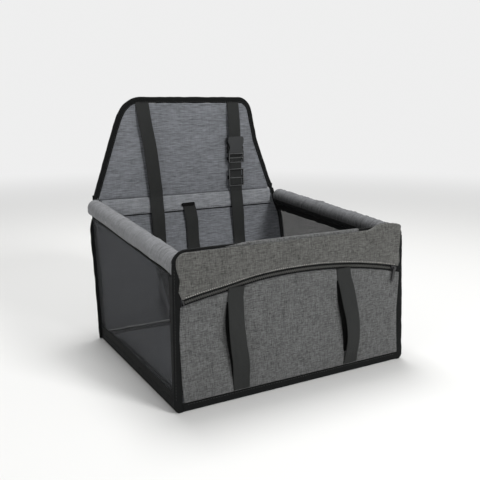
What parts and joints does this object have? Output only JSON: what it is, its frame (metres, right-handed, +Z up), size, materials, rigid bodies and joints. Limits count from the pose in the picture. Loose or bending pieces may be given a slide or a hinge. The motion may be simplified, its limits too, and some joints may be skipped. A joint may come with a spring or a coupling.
{
  "type": "dog car seat",
  "caption": "Folding fabric booster basket for a small dog, with padded rails, see-through sides, zip pocket, headrest flap with buckled strap, and a clip tether.",
  "frame": {"origin": "middle of the basket's footprint, on the plane that the base rests on", "axes": "+Z up, +X to the right of someone who faces the zip pocket, and the pocket faces -Y"},
  "size_m": [0.4036, 0.3858, 0.409],
  "materials": {
    "heather_cloth": "woven melange",
    "slate_cloth": "woven slub",
    "rail_cloth": "foam-backed weave",
    "binding_tape": "ribbed tape",
    "webbing": "flat webbing",
    "mesh_cloth": "fine mesh",
    "buckle_plastic": "satin moulding",
    "rail_pipe": "extruded",
    "stiff_board": "pressed sheet",
    "hook_metal": "bright plating"
  },
  "bodies": {
    "basket": {"base_cover": "slate_cloth", "base_board": "stiff_board", "floor_pad": "slate_cloth", "base_binding_front": "binding_tape", "base_binding_back": "binding_tape", "base_binding_left": "binding_tape", "base_binding_right": "binding_tape", "front_upper_panel": "heather_cloth", "front_pocket_panel": "heather_cloth", "front_lining": "slate_cloth", "front_top_binding": "binding_tape", "zip_tape": "binding_tape", "zip_coil": "binding_tape", "zip_stop_left": "hook_metal", "zip_stop_right": "hook_metal", "pocket_loop_left": "webbing", "pocket_loop_right": "webbing", "corner_binding_front_left": "binding_tape", "corner_binding_front_right": "binding_tape", "corner_binding_back_left": "binding_tape", "corner_binding_back_right": "binding_tape", "back_wall_lining": "slate_cloth", "back_wall_cover": "slate_cloth", "back_rim_band": "slate_cloth", "rail_sleeve_left": "rail_cloth", "rail_sleeve_right": "rail_cloth", "rail_tube_left": "rail_pipe", "rail_tube_right": "rail_pipe", "rail_piping_left": "binding_tape", "rail_piping_right": "binding_tape", "mesh_panel_left": "mesh_cloth", "mesh_panel_right": "mesh_cloth", "headrest_strap_fold_left": "webbing", "headrest_strap_fold_right": "webbing", "headrest_strap_loop": "webbing", "tether_strap": "webbing", "tether_eye": "hook_metal"},
    "flap": {"flap_face": "slate_cloth", "flap_board": "stiff_board", "flap_back": "slate_cloth", "flap_binding": "binding_tape", "headrest_strap_left": "webbing", "headrest_strap_right": "webbing", "buckle_short_strap": "webbing", "buckle_plug": "buckle_plastic"},
    "socket": {"buckle_socket": "buckle_plastic"},
    "arm_left": {"buckle_arm_left": "buckle_plastic"},
    "arm_right": {"buckle_arm_right": "buckle_plastic"},
    "strap_slider": {"tri_glide": "buckle_plastic"},
    "slider": {"zip_slider": "hook_metal"},
    "puller": {"zip_puller": "hook_metal"},
    "hook": {"tether_hook": "hook_metal"},
    "gate": {"tether_gate": "hook_metal"}
  },
  "joints": [
    {"name": "flap_fold", "type": "hinge", "parent": "basket", "child": "flap", "pos_m": [0, 0.2045, 0.2345], "axis": [1, 0, 0], "range_deg": [-20, 92], "deforming": ["headrest_strap_fold_left", "headrest_strap_fold_right"]},
    {"name": "buckle_release", "type": "slide", "parent": "flap", "child": "socket", "axis": [0, 0.057, 0.9984], "range_m": [0, 0.022], "deforming": ["buckle_short_strap"]},
    {"name": "buckle_arm_left_pinch", "type": "hinge", "parent": "flap", "child": "arm_left", "pos_m": [0.0834, 0.20188, 0.30627], "axis": [0, 0.9984, -0.057], "range_deg": [0, 7], "stiffness_Nm_per_rad": 0.08},
    {"name": "buckle_arm_right_pinch", "type": "hinge", "parent": "flap", "child": "arm_right", "pos_m": [0.1036, 0.20188, 0.30627], "axis": [0, -0.9984, 0.057], "range_deg": [0, 7], "stiffness_Nm_per_rad": 0.08},
    {"name": "tri_glide_slide", "type": "slide", "parent": "flap", "child": "strap_slider", "axis": [0, 0.057, 0.9984], "range_m": [-0.003, 0.01]},
    {"name": "zip_slide", "type": "hinge", "parent": "basket", "child": "slider", "pos_m": [0, -0.18516, -0.60948], "axis": [0, -0.9991, 0.0412], "range_deg": [0, 25.8]},
    {"name": "zip_puller_lift", "type": "hinge", "parent": "slider", "child": "puller", "pos_m": [0.17434, -0.1588, 0.15035], "axis": [-0.9747, 0.0092, 0.2233], "range_deg": [0, 170]},
    {"name": "tether_swivel", "type": "hinge", "parent": "basket", "child": "hook", "pos_m": [-0.0045, 0.16298, 0.09613], "axis": [0, 0.1864, 0.9825], "continuous": true},
    {"name": "tether_gate_press", "type": "hinge", "parent": "hook", "child": "gate", "pos_m": [0.003, 0.1591, 0.0757], "axis": [0, 0.9825, -0.1864], "range_deg": [0, 16], "stiffness_Nm_per_rad": 0.02, "springref_deg": -11.46}
  ]
}
